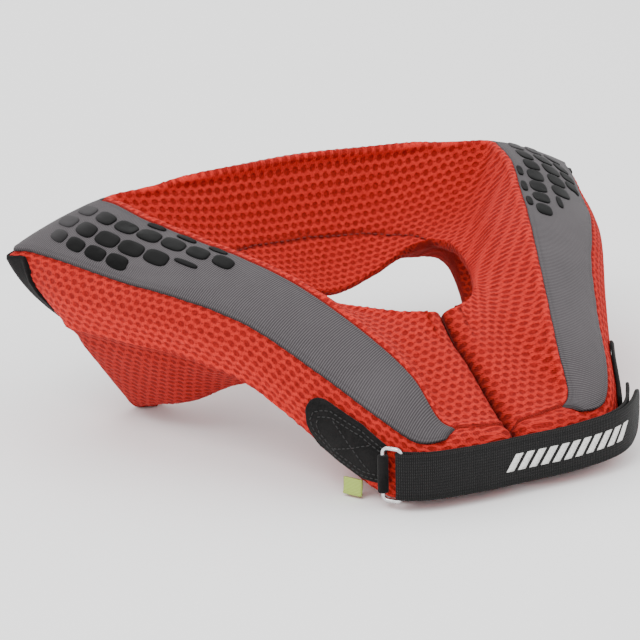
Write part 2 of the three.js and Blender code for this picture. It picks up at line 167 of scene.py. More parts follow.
def bottom_and_lip(station, count):
    """The underside from the foot of the wall over heel and toe, then the lip of the hole."""
    found = section(station)
    out = outward(found)
    base = found["base"]
    lower = found["rim"] + out * LIP_SETBACK
    lower[..., 2] -= found["lip"]
    knots = [base]
    for name, share in (("heel", 0.36), ("heel", 0.52), ("toe", 0.74)):
        point = base + (lower - base) * share
        point[..., 2] = np.maximum(found[name], 0)
        knots.append(point)
    knots = np.concatenate(knots + [lower], axis=1)
    at = np.linspace(0, 4, count)
    low = np.minimum(at.astype(int), 3)
    run = knots[:, low] + (knots[:, low + 1] - knots[:, low]) * (at - low)[None, :, None]
    lip_away = out * -0.2 * found["lip"][..., None]
    lip = arc(lower, found["rim"], lip_away, np.array([0.2, 0.4, 0.6, 0.8])[None, :])
    return np.concatenate([run, lip], axis=1)


INNER_COUNT, BAND_COUNT, WALL_COUNT, UNDER_COUNT = 80, 8, 42, 60


def behind_neck(station):
    """1 along the wide end, 0 along both wings."""
    return np.clip((station - 9.5) / 1.5, 0, 1) * np.clip((FAR_SLIT - 9.5 - station) / 1.5, 0, 1)


def band_inner(station):
    """The band starts further out behind the neck, where the cover rolls over the top edge."""
    return BAND_INNER + 0.10 * behind_neck(station)


def collar_loops(station):
    station = np.asarray(station, float)[:, None]
    inner = inner_face(station, np.linspace(0, 1, INNER_COUNT)[None, :])
    edge = np.minimum(station, FAR_SLIT - station)
    hollow = BAND_HOLLOW * np.clip((edge - BAND_START + 0.08) / 0.1, 0, 1)
    start = band_inner(station) - 0.01
    share = start + (0.97 - start) * np.linspace(0, 1, BAND_COUNT)[None, :]
    band = lifted(band_face, station, share, -hollow * np.ones_like(share))
    wall = wall_face(station, np.linspace(0, 1, WALL_COUNT)[None, :])
    under = bottom_and_lip(station, UNDER_COUNT)
    return np.concatenate([inner, band, wall, under], axis=1)


SLIT_TURN = [0, 14, 28, 42, 56, 72, 90]
CELL_PITCH, ROW_PITCH = 0.0049, 0.0064
# The columns of the cover are spaced evenly along the middle of the inner face. On the longer
# outer wall there are three of them to a cell of the knit.
dense = np.linspace(0.8, FAR_SLIT - 0.8, 4000)
walk = np.linalg.norm(np.diff(inner_face(dense, np.full(4000, 0.62)), axis=0), axis=1)
walk = np.concatenate([[0], np.cumsum(walk)])
column_count = 4 * 3 * round(walk[-1] / CELL_PITCH / 3)
stations = np.interp(np.linspace(0, walk[-1], column_count + 1), walk, dense)
loops = collar_loops(stations)


def slit_loops(station, side):
    """The lips of the slit, rounded over in a quarter turn."""
    face = collar_loops(np.array([station]))[0]
    along = np.roll(face, -1, axis=0) - np.roll(face, 1, axis=0)
    along[:, 0] = 0
    along = unit(along)
    inward = np.stack([np.zeros(len(face)), -along[:, 2], along[:, 1]], -1)
    turned = []
    for angle in np.radians(SLIT_TURN):
        depth = SLIT_LIP * (1 - math.cos(angle))
        inset = SLIT_LIP * 0.8 * (1 - math.sin(angle))
        moved = face + inward * inset
        moved[:, 0] = side * (SLIT_WIDTH / 2 + depth)
        turned.append(moved)
    return np.array(turned)


near_lip = slit_loops(0.0, -1)
far_lip = slit_loops(float(FAR_SLIT), 1)[::-1]
loops = np.concatenate([near_lip, loops, far_lip], axis=0)
all_stations = np.concatenate([np.linspace(0, 0.7, 7), stations, FAR_SLIT - np.linspace(0.7, 0, 7)])


def softened(grid, rounds):
    """Rounds the corners of each loop a little, as a padded cover does."""
    for _ in range(rounds):
        grid = 0.5 * grid + 0.25 * (np.roll(grid, 1, axis=1) + np.roll(grid, -1, axis=1))
    return grid


loops = softened(loops, 5)
loops[..., 2] = np.maximum(loops[..., 2], COVER_LIFT)


def grid_normals(grid):
    along = np.gradient(grid, axis=0)
    across = np.roll(grid, -1, axis=1) - np.roll(grid, 1, axis=1)
    return unit(np.cross(along, across))


def linked(name, data):
    thing = bpy.data.objects.new(name, data)
    bpy.context.scene.collection.objects.link(thing)
    return thing


def lofted(name, grid, uv=None, painted_shading=None, closed_rows=False):
    """A closed mesh over a grid of loops: the loops close on themselves, the ends get a cap."""
    rows, size = grid.shape[:2]
    count = rows * size
    verts = grid.reshape(-1, 3)
    i, j = np.meshgrid(np.arange(rows if closed_rows else rows - 1), np.arange(size), indexing="ij")
    nxt, right = (i + 1) % rows, (j + 1) % size
    quads = np.stack([i * size + j, i * size + right, nxt * size + right, nxt * size + j],
                     -1).reshape(-1, 4)
    faces = quads.tolist()
    if not closed_rows:
        hubs = [grid[0].mean(axis=0), grid[-1].mean(axis=0)]
        for hub, start in ((count, 0), (count + 1, count - size)):
            for k in range(size):
                a, b = start + k, start + (k + 1) % size
                faces.append([b, a, hub] if start == 0 else [a, b, hub])
        verts = np.concatenate([verts, hubs])
    mesh = bpy.data.meshes.new(name)
    mesh.from_pydata(verts.tolist(), [], faces)
    if uv is not None:
        layer = mesh.uv_layers.new(name="cover")
        corner = np.zeros((len(mesh.loops), 2))
        wide_i = np.stack([i, i, i + 1, i + 1], -1).reshape(-1, 4)
        wide_j = np.stack([j, j + 1, j + 1, j], -1).reshape(-1, 4)
        corner[:quads.size] = uv[wide_i, wide_j].reshape(-1, 2)
        layer.data.foreach_set("uv", corner.astype(np.float32).ravel())
    if painted_shading is not None:
        values = np.concatenate([painted_shading.reshape(-1), np.ones(len(verts) - count)])
        mesh.attributes.new("painted_shading", "FLOAT", "POINT").data.foreach_set("value",
                                                                       values.astype(np.float32))
    mesh.polygons.foreach_set("use_smooth", [True] * len(mesh.polygons))
    shape = bmesh.new()
    shape.from_mesh(mesh)
    if shape.calc_volume(signed=True) < 0:
        bmesh.ops.reverse_faces(shape, faces=shape.faces)
        shape.to_mesh(mesh)
    shape.free()
    mesh.update()
    return linked(name, mesh)


def solid_of(name, verts, faces):
    """An object from points and faces, its faces turned outward."""
    mesh = bpy.data.meshes.new(name)
    mesh.from_pydata(np.asarray(verts).tolist(), [], faces)
    mesh.polygons.foreach_set("use_smooth", [True] * len(mesh.polygons))
    shape = bmesh.new()
    shape.from_mesh(mesh)
    bmesh.ops.recalc_face_normals(shape, faces=shape.faces)
    shape.to_mesh(mesh)
    shape.free()
    return linked(name, mesh)


SWELL_CAP = 0.0016


def foam_swell():
    """A cloth run on a coarse copy of the pad: how far its cover moves under a little pressure."""
    coarse = lofted("pad_form", loops[::7, ::4])
    bpy.context.view_layer.objects.active = coarse
    remesh = coarse.modifiers.new("remesh", "REMESH")
    remesh.mode, remesh.voxel_size = "VOXEL", 0.005
    graph = bpy.context.evaluated_depsgraph_get()
    block = bpy.data.meshes.new_from_object(coarse.evaluated_get(graph))
    pad = linked("pad_cloth", block)
    before = np.array([v.co[:] for v in block.vertices])
    cloth = pad.modifiers.new("cloth", "CLOTH")
    cloth.settings.quality = 5
    cloth.settings.mass = 0.3
    cloth.settings.tension_stiffness = cloth.settings.compression_stiffness = 40
    cloth.settings.use_pressure = True
    cloth.settings.uniform_pressure_force = 4
    cloth.settings.effector_weights.gravity = 0
    cloth.point_cache.frame_start, cloth.point_cache.frame_end = 1, 20
    for step in range(1, 21):
        bpy.context.scene.frame_set(step)
    graph = bpy.context.evaluated_depsgraph_get()
    done = bpy.data.meshes.new_from_object(pad.evaluated_get(graph))
    after = np.array([v.co[:] for v in done.vertices])
    bpy.context.scene.frame_set(1)
    for thing in (pad, coarse):
        bpy.data.objects.remove(thing)
    move = after - before
    far = np.linalg.norm(move, axis=1, keepdims=True)
    move *= np.minimum(1, SWELL_CAP / np.maximum(far, 1e-9))
    tree = kdtree.KDTree(len(before))
    for k, point in enumerate(before):
        tree.insert(point, k)
    tree.balance()
    return tree, move


swell_tree, swell_move = foam_swell()


def swollen(grid):
    """The points after the cover has swelled: each follows its nearest points of the cloth."""
    if swell_tree is None:
        return grid
    flat = grid.reshape(-1, 3)
    out = flat.copy()
    for k, point in enumerate(flat):
        near = swell_tree.find_n(point, 8)
        weight = np.array([1 / (distance + 0.002) ** 2 for _, _, distance in near])
        out[k] += (swell_move[[n for _, n, _ in near]] * weight[:, None]).sum(axis=0) / weight.sum()
    out[:, 2] = np.maximum(out[:, 2], COVER_LIFT)
    return out.reshape(grid.shape)


loops = swollen(loops)
BEAD, BEAD_REACH, BEAD_OFFSET, BEAD_FULLER = 0.0017, 0.0024, 0.0008, 0.3
size = loops.shape[1]
crest_at = INNER_COUNT - 1
wall_at = INNER_COUNT + BAND_COUNT
step_length = np.linalg.norm(np.roll(loops, -1, axis=1) - loops, axis=2)
run_length = np.concatenate([np.zeros((len(loops), 1)), np.cumsum(step_length, axis=1)], axis=1)
from_crest = run_length - run_length[:, crest_at:crest_at + 1]
from_brim = run_length - run_length[:, wall_at:wall_at + 1]
column = np.arange(len(loops))[:, None] * np.ones((1, size + 1))
on_inner = np.arange(size + 1) <= crest_at
# Inside the collar the knit lies as one flat cloth, pulled together towards the hole's rim.
HOLE_Y, HOLE_PULL, PULL_REACH, UNROLL = 0.012, 0.35, 0.045, 0.74
pull = 1 + HOLE_PULL * np.exp(-run_length / PULL_REACH)
wide = np.concatenate([loops, loops[:, :1]], axis=1)
inner_u = wide[..., 0] * pull / CELL_PITCH
inner_v = UNROLL * ((wide[..., 1] - HOLE_Y) * pull + wide[..., 2]) / ROW_PITCH
cell_u = np.where(on_inner, inner_u, column / 3)
cell_v = np.where(on_inner, inner_v, from_brim / ROW_PITCH)


def cell_pit(u, v, pitch, row):
    """1 at the middle of a cell, 0 on the ridges of the knit between cells."""
    nearest = np.full(u.shape, 9.0)
    for shift in (0, 0.5):
        du = (u + shift) % 1 - 0.5
        dv = (v + shift) % 1 - 0.5
        nearest = np.minimum(nearest, np.hypot(du * pitch / 0.00175, dv * row / 0.00135))
    return np.clip((1.25 - nearest) / 0.55, 0, 1)


pits = cell_pit(cell_u, cell_v, CELL_PITCH, ROW_PITCH)[:, :size]
normals = grid_normals(loops)
facing_out = np.sign((normals[:,
                              wall_at + 20] * outward(section(all_stations))).sum(axis=-1).mean())
normals *= facing_out
# The roll is fullest behind the neck, where it hides the band's edge.
bead = BEAD * (1 + BEAD_FULLER * behind_neck(all_stations))[:, None]
bead = bead * np.exp(-((from_crest[:, :size] + BEAD_OFFSET) / BEAD_REACH) ** 2)

# Seam across the bowl, where the neck panel is sewn to the rear panel
SEAM_STATIONS = [10.0, 11.0, 12.0, 13.0, 14.0, 15.0, 16.0, 17.0]
SEAM_SHARES = [0.16, 0.22, 0.30, 0.41, 0.44, 0.36, 0.17, 0.03]
seam_share = np.interp(all_stations, SEAM_STATIONS, SEAM_SHARES, left=-9, right=-9)
inner_share = np.where(np.arange(size) <= crest_at, np.arange(size) / crest_at, 99.0)
inner_length = run_length[:, crest_at:crest_at + 1]
seam_gap = np.abs(inner_share[None, :] - seam_share[:, None]) * inner_length
PIT_DEPTH, SEAM_DEPTH, SEAM_HALF = 0.00032, 0.0009, 0.0016
seam = np.exp(-(seam_gap / SEAM_HALF) ** 2)
relief = -PIT_DEPTH * pits + bead - SEAM_DEPTH * seam
relief[:, INNER_COUNT:wall_at] = 0
# The foot of the wall is a fold: its edge stands out and the cover below is drawn in.
base_at = wall_at + WALL_COUNT - 1
below_wall = run_length[:, :size] - run_length[:, base_at:base_at + 1]
FOLD_RISE, FOLD_REACH = 0.0009, 0.0022
TUCK_DEPTH, TUCK_AT, TUCK_REACH = 0.0010, 0.006, 0.003
relief += FOLD_RISE * np.exp(-(below_wall / FOLD_REACH) ** 2)
relief -= TUCK_DEPTH * np.exp(-((below_wall - TUCK_AT) / TUCK_REACH) ** 2)
ends = np.ones(len(loops))
ends[:4] = ends[-4:] = 0
relief *= ends[:, None]
collar_grid = loops + normals * relief[..., None]
collar_grid[..., 2] = np.maximum(collar_grid[..., 2], 0)
# Painted light and shade, kept on the points as a tone that scales the colour: lighter near the hole's rim,
# partly for the stretched knit and partly painted light; a painted highlight along the roll at the crest;
# painted shade in the crease of the bowl's seam.
rim_stretch_and_light = np.exp(-(run_length[:, :size] / 0.014) ** 2) * (np.arange(size) <= crest_at)
painted_shading = 1 + 0.10 * rim_stretch_and_light + 0.12 * bead / BEAD - 0.55 * seam
# The wall is a little darker at its top and lighter towards its foot. The underside and the lip of the hole
# get painted shade.
wall_share = np.linspace(0, 1, WALL_COUNT)
painted_shading[:, wall_at:wall_at + WALL_COUNT] += 0.20 * np.clip((wall_share - 0.35) / 0.3, 0, 1) - 0.04
painted_shading[:, wall_at + WALL_COUNT:] -= 0.20
# Painted shade, deepening into the slit's groove at both ends of the collar.
slit_groove_shade = np.ones(len(loops))
slit_groove_shade[:5] = slit_groove_shade[-5:][::-1] = [0.35, 0.45, 0.6, 0.75, 0.9]
painted_shading *= slit_groove_shade[:, None]
collar = lofted("collar_pad", collar_grid, np.stack([cell_u, cell_v], -1), painted_shading)


def tree_of(name):
    material = bpy.data.materials.new(name)
    material.use_nodes = True
    return material, material.node_tree, material.node_tree.nodes["Principled BSDF"]


def add(tree, kind, sockets=(), **settings):
    """One node, with its settings and its inputs: a value is set, a socket is linked."""
    node = tree.nodes.new(kind)
    for key, value in settings.items():
        setattr(node, key, value)
    for key, value in dict(sockets).items():
        if isinstance(value, bpy.types.NodeSocket):
            tree.links.new(value, node.inputs[key])
        else:
            node.inputs[key].default_value = value
    return node


def calc(tree, operation, *values):
    return add(tree, "ShaderNodeMath", dict(enumerate(values)), operation=operation).outputs[0]


def mixed(tree, factor, a, b):
    return add(tree, "ShaderNodeMix", {0: factor, 6: a, 7: b}, data_type="RGBA").outputs[2]


def span(tree, value, low, high, out_low=0.0, out_high=1.0):
    ends = {0: value, 1: low, 2: high, 3: out_low, 4: out_high}
    return add(tree, "ShaderNodeMapRange", ends, interpolation_type="SMOOTHSTEP").outputs[0]


def own_place(tree):
    return add(tree, "ShaderNodeTexCoord").outputs["Object"]


def noise(tree, scale, detail, **more):
    """Noise over the piece itself, so that it looks the same from every side."""
    sockets = {"Vector": own_place(tree), "Scale": scale, "Detail": detail, **more}
    return add(tree, "ShaderNodeTexNoise", sockets).outputs[0]


def bumped(tree, shader, height, strength, distance):
    sockets = {"Height": height, "Strength": strength, "Distance": distance}
    tree.links.new(add(tree, "ShaderNodeBump", sockets).outputs[0], shader.inputs["Normal"])


def with_painted_shading(tree, shader, colour):
    """The colour, made lighter or darker by the painted light and shade kept on the mesh's points."""
    here = add(tree, "ShaderNodeAttribute", attribute_name="painted_shading").outputs["Fac"]
    shaded = add(tree, "ShaderNodeHueSaturation", {"Color": colour, "Value": here})
    tree.links.new(shaded.outputs[0], shader.inputs["Base Color"])


def cell_distance(tree, u, v, half_u, half_v):
    """Distance to the nearest cell's middle over two staggered lattices, in half widths."""
    found = []
    for shift in (0.0, 0.5):
        parts = []
        for value, half in ((u, half_u), (v, half_v)):
            moved = calc(tree, "ADD", value, shift)
            folded = calc(tree, "SUBTRACT", calc(tree, "FRACT", moved), 0.5)
            scaled = calc(tree, "DIVIDE", folded, half)
            parts.append(calc(tree, "MULTIPLY", scaled, scaled))
        found.append(calc(tree, "SQRT", calc(tree, "ADD", *parts)))
    return calc(tree, "MINIMUM", *found)


def air_mesh():
    material, tree, shader = tree_of("air_mesh")
    uv = add(tree, "ShaderNodeUVMap", uv_map="cover")
    split = add(tree, "ShaderNodeSeparateXYZ", {0: uv.outputs[0]})
    fuzz = noise(tree, 900.0, 3.0)
    patch = noise(tree, 60.0, 2.0)
    wobble = calc(tree, "MULTIPLY", calc(tree, "SUBTRACT", fuzz, 0.5), 0.12)
    u = calc(tree, "ADD", split.outputs[0], wobble)
    v = calc(tree, "ADD", split.outputs[1], wobble)
    reach = cell_distance(tree, u, v, 0.34, 0.19)
    pit = span(tree, reach, 1.22, 0.72)
    knots = cell_distance(tree, calc(tree, "ADD", u, 0.5), v, 0.13, 0.055)
    slot = span(tree, knots, 1.1, 0.5)
    thread = add(tree, "ShaderNodeTexWave",
                 {"Vector": uv.outputs[0], "Scale": 3.0, "Distortion": 3.0,
                                                    "Detail": 2.0, "Detail Scale": 3.0})
    thread.bands_direction = "DIAGONAL"
    ridge = mixed(tree, span(tree, fuzz, 0.35, 0.65), (0.40, 0.011, 0.008, 1),
                  (0.52, 0.020, 0.014, 1))
    ridge = mixed(tree, calc(tree, "MULTIPLY", thread.outputs[1], 0.35), ridge,
                  (0.64, 0.046, 0.034, 1))
    # Painted shade in the knit: the pits of the cells, and the slots between them, are darker than the ridges.
    shaded_pit_colour = mixed(tree, span(tree, fuzz, 0.4, 0.62), (0.20, 0.006, 0.005, 1),
                 (0.29, 0.009, 0.007, 1))
    cloth = mixed(tree, pit, ridge, shaded_pit_colour)
    cloth = mixed(tree, calc(tree, "MULTIPLY", slot, 0.6), cloth, (0.13, 0.006, 0.005, 1))
    cloth = mixed(tree, span(tree, patch, 0.3, 0.7, 0.0, 0.16), cloth, (0.33, 0.011, 0.008, 1))
    with_painted_shading(tree, shader, cloth)
    shader.inputs["Roughness"].default_value = 0.86
    shader.inputs["Sheen Weight"].default_value = 0.06
    shader.inputs["Sheen Roughness"].default_value = 0.45
    shader.inputs["Sheen Tint"].default_value = (1.0, 0.30, 0.24, 1)
    shader.inputs["Specular IOR Level"].default_value = 0.12
    height = calc(tree, "SUBTRACT", 1.0, pit)
    height = calc(tree, "SUBTRACT", height, calc(tree, "MULTIPLY", slot, 0.6))
    height = calc(tree, "ADD", height, calc(tree, "MULTIPLY", fuzz, 0.5))
    height = calc(tree, "ADD", height, calc(tree, "MULTIPLY", thread.outputs[1], 0.25))
    bumped(tree, shader, height, 0.8, 0.0006)
    return material


collar.data.materials.append(air_mesh())
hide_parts("collar_body")
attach(collar, "root")

# Top band: one strip of grey twill sewn along the pad's top edge, round the wide end and down
# both sides, with a rounded tongue at each end. A seam runs just inside its turned edges.
BAND_THICKNESS = 0.0015
BAND_STEP = 0.0016
BAND_ENDS, BAND_PROUD, EDGE_SEAM = 0.9, 0.0004, 0.0022


def band_outer(station):
    growth = np.clip(0.3 + (np.minimum(station, FAR_SLIT - station) - BAND_START) / BAND_ENDS, 0, 1)
    return 0.95 * np.sqrt(1 - (1 - growth) ** 2)


def sewn_strip(name, face, at, inner, outer, across, thickness, round_edge=0.0008, low=0.0):
    """A closed strip over one face of the collar, with eased edges and a seam groove near them."""
    share = np.linspace(0, 1, across)[None, :]
    inner, outer = np.broadcast_to(inner, at.shape)[:, None], np.broadcast_to(outer, at.shape)[:,
                                                                                               None]
    top_share = inner + (outer - inner) * share
    station = at[:, None] * np.ones_like(share)
    flat = face(station, top_share)
    width = np.linalg.norm(np.diff(flat, axis=1), axis=2)
    across_run = np.concatenate([np.zeros((len(at), 1)), np.cumsum(width, axis=1)], axis=1)
    edge = np.minimum(across_run, across_run[:, -1:] - across_run)
    middle = flat[:, across // 2]
    along_run = np.concatenate([[0], np.cumsum(np.linalg.norm(np.diff(middle, axis=0), axis=1))])[:,
                                                                                                  None]
    edge = np.minimum(edge, np.minimum(along_run, along_run[-1] - along_run))
    ease = thickness * 0.55 * np.clip(1 - edge / round_edge, 0, 1) ** 2
    groove = 0.00012 * np.exp(-((edge - EDGE_SEAM) / 0.0005) ** 2)
    top = lifted(face, station, top_share, low + thickness - ease - groove)
    under_share = inner + (outer - inner) * np.linspace(1, 0, 6)[None, :]
    under = lifted(face, at[:, None] * np.ones((1, 6)), under_share, low)
    grid = swollen(np.concatenate([top, under], axis=1))
    u = np.concatenate([along_run * np.ones((1, across)), along_run * np.ones((1, 7))], axis=1)
    v = np.concatenate([across_run, np.repeat(across_run[:, -1:], 6, axis=1), across_run[:, :1]],
                       axis=1)
    # Painted shade: darker along the seam groove, at the strip's very edge, and on the strip's underside.
    near = np.exp(-((edge - EDGE_SEAM) / 0.00045) ** 2)
    near = np.concatenate([1 - 0.18 * near - 0.55 * np.clip(1 - edge / 0.0007, 0, 1),
                           np.full((len(at), 6), 0.6)], axis=1)
    return lofted(name, grid, np.stack([u, v], -1) * 1000, near)


band_walk = np.linspace(BAND_START, FAR_SLIT - BAND_START, 3000)
band_run = np.linalg.norm(np.diff(band_face(band_walk, np.full(3000, 0.5)), axis=0), axis=1)
band_run = np.concatenate([[0], np.cumsum(band_run)])
band_at = np.interp(np.linspace(0, band_run[-1], int(band_run[-1] / BAND_STEP)), band_run,
                    band_walk)
band = sewn_strip("twill_band", band_face, band_at, band_inner(band_at), band_outer(band_at), 40,
                  BAND_THICKNESS, low=BAND_PROUD - BAND_THICKNESS)


def woven(name, dark, light, pitch, angle, roughness, sheen, bump_depth, fuzz_scale=1500.0,
          tint=(1, 1, 1, 1)):
    """Cloth with fine diagonal ribs on the piece's own UV map, in millimetres."""
    material, tree, shader = tree_of(name)
    uv = add(tree, "ShaderNodeUVMap", uv_map="cover")
    split = add(tree, "ShaderNodeSeparateXYZ", {0: uv.outputs[0]})
    fuzz = noise(tree, fuzz_scale, 3.0)
    patch = noise(tree, 45.0, 3.0)
    turn = math.radians(angle)
    x = calc(tree, "MULTIPLY", split.outputs[0], math.cos(turn) / pitch)
    y = calc(tree, "MULTIPLY", split.outputs[1], math.sin(turn) / pitch)
    wave = calc(tree, "FRACT", calc(tree, "ADD", x, y))
    rib = calc(tree, "ABSOLUTE", calc(tree, "SUBTRACT", wave, 0.5))
    rib = span(tree, rib, 0.12, 0.42)
    across = calc(tree, "MULTIPLY", split.outputs[0], -math.sin(turn) / pitch * 1.4)
    cross = calc(tree, "ADD", across,
                 calc(tree, "MULTIPLY", split.outputs[1], math.cos(turn) / pitch * 1.4))
    pick = calc(tree, "ABSOLUTE", calc(tree, "SUBTRACT", calc(tree, "FRACT", cross), 0.5))
    pick = span(tree, pick, 0.0, 0.35)
    weave = calc(tree, "MULTIPLY", rib, calc(tree, "ADD", calc(tree, "MULTIPLY", pick, 0.35), 0.65))
    weave = calc(tree, "ADD", weave, calc(tree, "MULTIPLY", calc(tree, "SUBTRACT", fuzz, 0.5), 0.5))
    colour = mixed(tree, weave, dark, light)
    worn = span(tree, patch, 0.35, 0.75, 0.0, 0.18)
    colour = mixed(tree, worn, colour, light)
    with_painted_shading(tree, shader, colour)
    shader.inputs["Roughness"].default_value = roughness
    shader.inputs["Sheen Weight"].default_value = sheen
    shader.inputs["Sheen Tint"].default_value = tint
    shader.inputs["Specular IOR Level"].default_value = 0.3
    bumped(tree, shader, weave, 0.7, bump_depth)
    return material


band.data.materials.append(woven("twill", (0.036, 0.031, 0.034, 1), (0.104, 0.094, 0.099, 1), 1.05,
                                 4, 0.85, 0.03, 0.0002))
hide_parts("top_band")
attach(band, "root")

# Raised cells: black rubber pads moulded on the twill of both wings, in staggered rows that
# thin out to slivers along the inner edge and shrink to single pads towards the strap end.
CELL_ROWS = [
    # across the band at the tip and at the strap end, first, last, how many, half long, half wide
    [5.5, 5.0, 40, 77, 3, 5.2, 1.5],
    [15.0, 11.0, 3, 86, 7, 5.9, 3.9],
    [25.5, 23.0, 4, 60, 5, 6.0, 4.1],
    [35.0, 32.0, 11, 47, 4, 5.0, 3.4],
    [22.0, 20.5, 74, 76, 1, 6.4, 1.4],
]
CELL_RISE, WING_STATION = 0.0006, 9.5


def wing_run():
    """Distance in mm along the near wing's band, for stations from the strap end to the tip."""
    at = np.linspace(4.5, 12.0, 1400)
    steps = np.linalg.norm(np.diff(band_face(at, np.full(len(at), 0.35)), axis=0), axis=1)
    return at, np.concatenate([[0], np.cumsum(steps)]) * 1000


def rubber_pads():
    """Middle and half sizes of every pad of one wing, in mm from the tip and across the band."""
    pads = []
    for near_edge, far_edge, first, last, count, long, wide in CELL_ROWS:
        for share in np.linspace(0, 1, count):
            along = first + (last - first) * share
            grow = 0.80 + 0.32 * math.sin(math.pi * min((along + 12) / 115, 1))
            across = near_edge + (far_edge - near_edge) * along / 90
            pads.append((along, across, long * grow, wide * (0.5 + grow / 2)))
    return pads


def pad_mesh(name, side):
    at, run = wing_run()
    start = np.interp(WING_STATION, at, run)
    angles = np.linspace(0, 2 * math.pi, 24, endpoint=False)
    ring_x = np.sign(np.cos(angles)) * np.abs(np.cos(angles)) ** 0.8
    ring_y = np.sign(np.sin(angles)) * np.abs(np.sin(angles)) ** 0.62
    profile = [(1.0, -0.4), (1.0, 0.45), (0.955, 0.85), (0.88, 1.0), (0.5, 1.04)]
    verts, faces = [], []

    def place(along, across, rise):
        station = np.interp(start - along, run, at)
        width = np.linalg.norm(band_face(station, 1.0) - band_face(station, 0.0), axis=-1) * 1000
        share = np.clip(across / width, 0.085, 0.92)
        return lifted(band_face, FAR_SLIT - station if side > 0 else station, share,
                      BAND_PROUD + rise * CELL_RISE)

    for along, across, long, wide in rubber_pads():
        base = len(verts)
        for scale, rise in profile:
            ring_across = across + ring_y * wide * scale
            verts.extend(place(along + ring_x * long * scale + ring_y * wide * 0.35, ring_across,
                               rise).tolist())
        for rise in (1.05, -0.4):
            verts.append(place(np.array([along]), np.array([across]), rise)[0].tolist())
        for ring in range(len(profile) - 1):
            for k in range(24):
                a, b = base + ring * 24 + k, base + ring * 24 + (k + 1) % 24
                faces.append([a, b, b + 24, a + 24])
        last, top = base + (len(profile) - 1) * 24, base + len(profile) * 24
        for k in range(24):
            faces.append([last + k, last + (k + 1) % 24, top])
            faces.append([base + (k + 1) % 24, base + k, top + 1])
    return solid_of(name, swollen(np.array(verts)), faces)


def rubber():
    material, tree, shader = tree_of("rubber")
    grain = noise(tree, 2200.0, 2.0)
    cloud = noise(tree, 70.0, 2.0)
    colour = mixed(tree, span(tree, cloud, 0.3, 0.7), (0.001, 0.001, 0.001, 1),
                   (0.003, 0.003, 0.003, 1))
    depth = add(tree, "ShaderNodeSeparateXYZ", {0: own_place(tree)})
    at_tip = span(tree, depth.outputs[1], 0.064, 0.088)
    colour = mixed(tree, at_tip, colour, (0.045, 0.042, 0.044, 1))
    tree.links.new(colour, shader.inputs["Base Color"])
    rough = span(tree, cloud, 0.3, 0.7, 0.5, 0.62)
    shader.inputs["Specular IOR Level"].default_value = 0.08
    tree.links.new(rough, shader.inputs["Roughness"])
    bumped(tree, shader, grain, 0.25, 0.0001)
    return material


rubber_look = rubber()
for pad_name, pad_side in (("near_cells", -1), ("far_cells", 1)):
    pads = pad_mesh(pad_name, pad_side)
    pads.data.materials.append(rubber_look)
    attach(pads, "root")

# End facing: black suede over the rear wall of the wide end, from wing tip to wing tip, sewn
# under the band and along the foot of the wall.
FACING_START, FACING_MARGIN, FACING_THICKNESS, SEW_GAP = 9, 0.03, 0.0013, 0.0003
facing_at = np.linspace(FACING_START, FAR_SLIT - FACING_START, 260)
facing = sewn_strip("suede_facing", wall_face, facing_at, FACING_MARGIN, 1 - FACING_MARGIN, 30,
                    FACING_THICKNESS, low=SEW_GAP)


def suede():
    material, tree, shader = tree_of("suede")
    nap = noise(tree, 1300.0, 5.0, Roughness=0.65)
    brushed = noise(tree, 90.0, 3.0, Distortion=0.6)
    colour = mixed(tree, span(tree, nap, 0.35, 0.7), (0.003, 0.003, 0.003, 1),
                   (0.010, 0.009, 0.009, 1))
    colour = mixed(tree, span(tree, brushed, 0.35, 0.7, 0.0, 0.45), colour,
                   (0.014, 0.013, 0.013, 1))
    with_painted_shading(tree, shader, colour)
    shader.inputs["Roughness"].default_value = 0.93
    shader.inputs["Sheen Weight"].default_value = 0.05
    shader.inputs["Specular IOR Level"].default_value = 0.12
    bumped(tree, shader, nap, 0.6, 0.0003)
    return material


suede_look = suede()
facing.data.materials.append(suede_look)
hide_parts("end_facing")
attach(facing, "root")

# Ring tab and far patch: a tongue of black suede on each side of the strap end. The near one
# folds round the ring's bar, the far one takes the strap's free end.
TAB_GAP, TAB_THICKNESS, PATCH_THICKNESS = 0.0006, 0.0018, 0.0012
TAB_HALF, RING_END_HALF = 0.0115, 0.008
STRAP_BAR, STRAP_END, TAB_BAR, TAB_REAR = 2.42, 3.3, 2.80, 4.15
TAB_FRONT = TAB_BAR + 0.01
WIRE, RING_CORNER, RING_PLAY = 0.0009, 0.0022, 0.0004
STRAP_WIDTH, STRAP_THICKNESS, FLOOR_GAP, STRAP_RISE = 0.020, 0.0014, 0.005, 0.004
STRAP_FLARE = 0.003
TAB_FOLD = WIRE + SEW_GAP + TAB_THICKNESS * 0.6


def tab_span(at):
    """Shares down the wall that the tongue covers, and how far along it is, from its ring end."""
    from_ring = (at - TAB_FRONT) / (TAB_REAR - TAB_FRONT)
    found = section(at)
    height = np.linalg.norm(found["brim"] - found["base"], axis=-1)
    narrow = RING_END_HALF + (TAB_HALF - RING_END_HALF) * np.clip(from_ring * 3, 0, 1)
    rounding = np.sqrt(np.clip(1 - np.clip((from_ring - 0.72) / 0.28, 0, 1) ** 2.4, 0.03, 1))
    half = narrow * rounding / height
    middle = 0.5 + 0.12 * from_ring
    return np.maximum(middle - half, 0.02), np.minimum(middle + half, 0.97)


tab_at = TAB_FRONT + (TAB_REAR - TAB_FRONT) * np.sin(np.linspace(0, math.pi / 2, 60))
tab_low, tab_high = tab_span(tab_at)
tab = sewn_strip("suede_tab", wall_face, tab_at, tab_low, tab_high, 34, TAB_THICKNESS, low=TAB_GAP)
patch = sewn_strip("suede_patch", wall_face, FAR_SLIT - tab_at, tab_low, tab_high, 34,
                   PATCH_THICKNESS, low=TAB_GAP)

